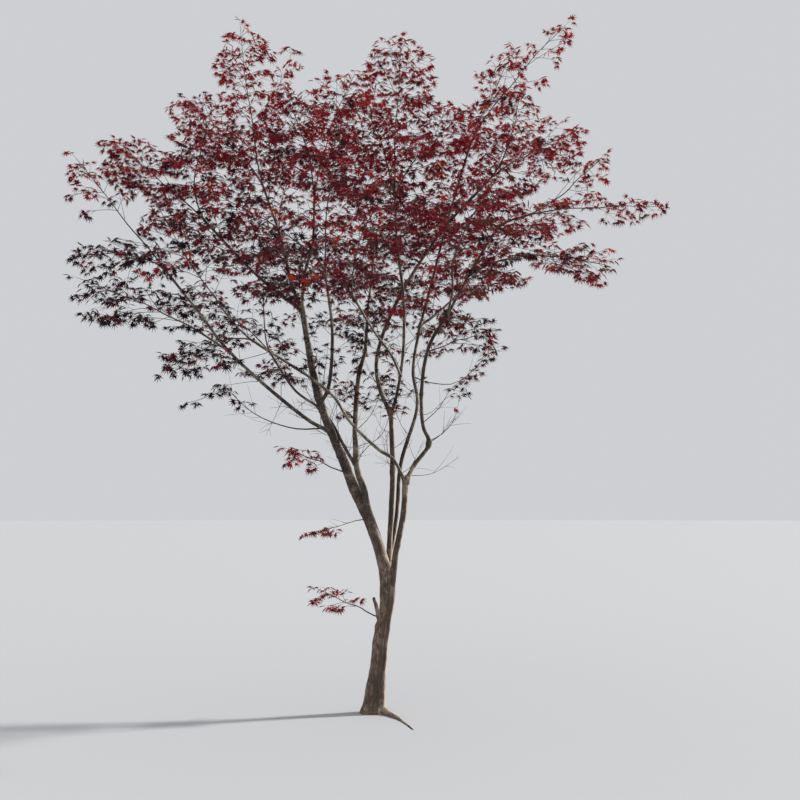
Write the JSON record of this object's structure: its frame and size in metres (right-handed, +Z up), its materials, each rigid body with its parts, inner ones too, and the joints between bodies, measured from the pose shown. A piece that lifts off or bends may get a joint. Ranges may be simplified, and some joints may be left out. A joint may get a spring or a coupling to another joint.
{
  "type": "japanese maple tree",
  "caption": "Garden Japanese maple rooted in the ground: a leaning trunk dividing low into slender spreading stems under a wide, open, layered crown of red leaves.",
  "frame": {"origin": "middle of the trunk's flat cut at ground level", "axes": "+Z straight up; +X to the right and -Y towards the viewer of the picture"},
  "size_m": [4.6425, 4.3584, 5.5743],
  "materials": {
    "bark": "smooth grey-brown bark with fine upright fissures and pores",
    "foliage": "thin satin leaves, crimson to dark maroon, on fine twigs"
  },
  "bodies": {
    "root": {"trunk": "bark", "left_stem": "bark", "right_stem": "bark", "middle_stem": "bark", "inner_stem": "bark", "centre_left": "bark", "rear_left": "bark", "far_left": "bark", "low_left": "bark", "left_riser": "bark", "upper_left": "bark", "upper_mid": "bark", "upper_right": "bark", "back_left": "bark", "crossing_bough": "bark", "elbow_limb": "bark", "right_limb": "bark", "right_low": "bark", "front_right": "bark", "centre_right": "bark", "mid_riser": "bark", "front_left": "bark", "back_right": "bark", "right_rear": "bark", "far_left_high_foliage": "foliage", "far_left_mid_foliage": "foliage", "low_left_tier_foliage": "foliage", "crossing_low_foliage": "foliage", "crossing_front_foliage": "foliage", "rear_left_tier_foliage": "foliage", "rear_left_high_foliage": "foliage", "upper_left_outer_foliage": "foliage", "upper_left_inner_foliage": "foliage", "shoulder_left_foliage": "foliage", "spire_foliage": "foliage", "crest_left_foliage": "foliage", "crest_back_foliage": "foliage", "riser_left_foliage": "foliage", "riser_right_foliage": "foliage", "back_left_high_foliage": "foliage", "back_left_low_foliage": "foliage", "back_middle_foliage": "foliage", "front_left_low_foliage": "foliage", "front_left_high_foliage": "foliage", "crest_mid_foliage": "foliage", "mid_high_foliage": "foliage", "mid_front_foliage": "foliage", "right_tip_foliage": "foliage", "right_upper_foliage": "foliage", "right_low_tier_foliage": "foliage", "right_shoulder_foliage": "foliage", "right_crest_foliage": "foliage", "top_right_foliage": "foliage", "spur_foliage": "foliage", "right_rear_out_foliage": "foliage", "right_rear_low_foliage": "foliage", "front_right_tier_foliage": "foliage", "low_right_foliage": "foliage", "stem_shoot_foliage": "foliage", "trunk_shoot_foliage": "foliage"}
  },
  "joints": []
}
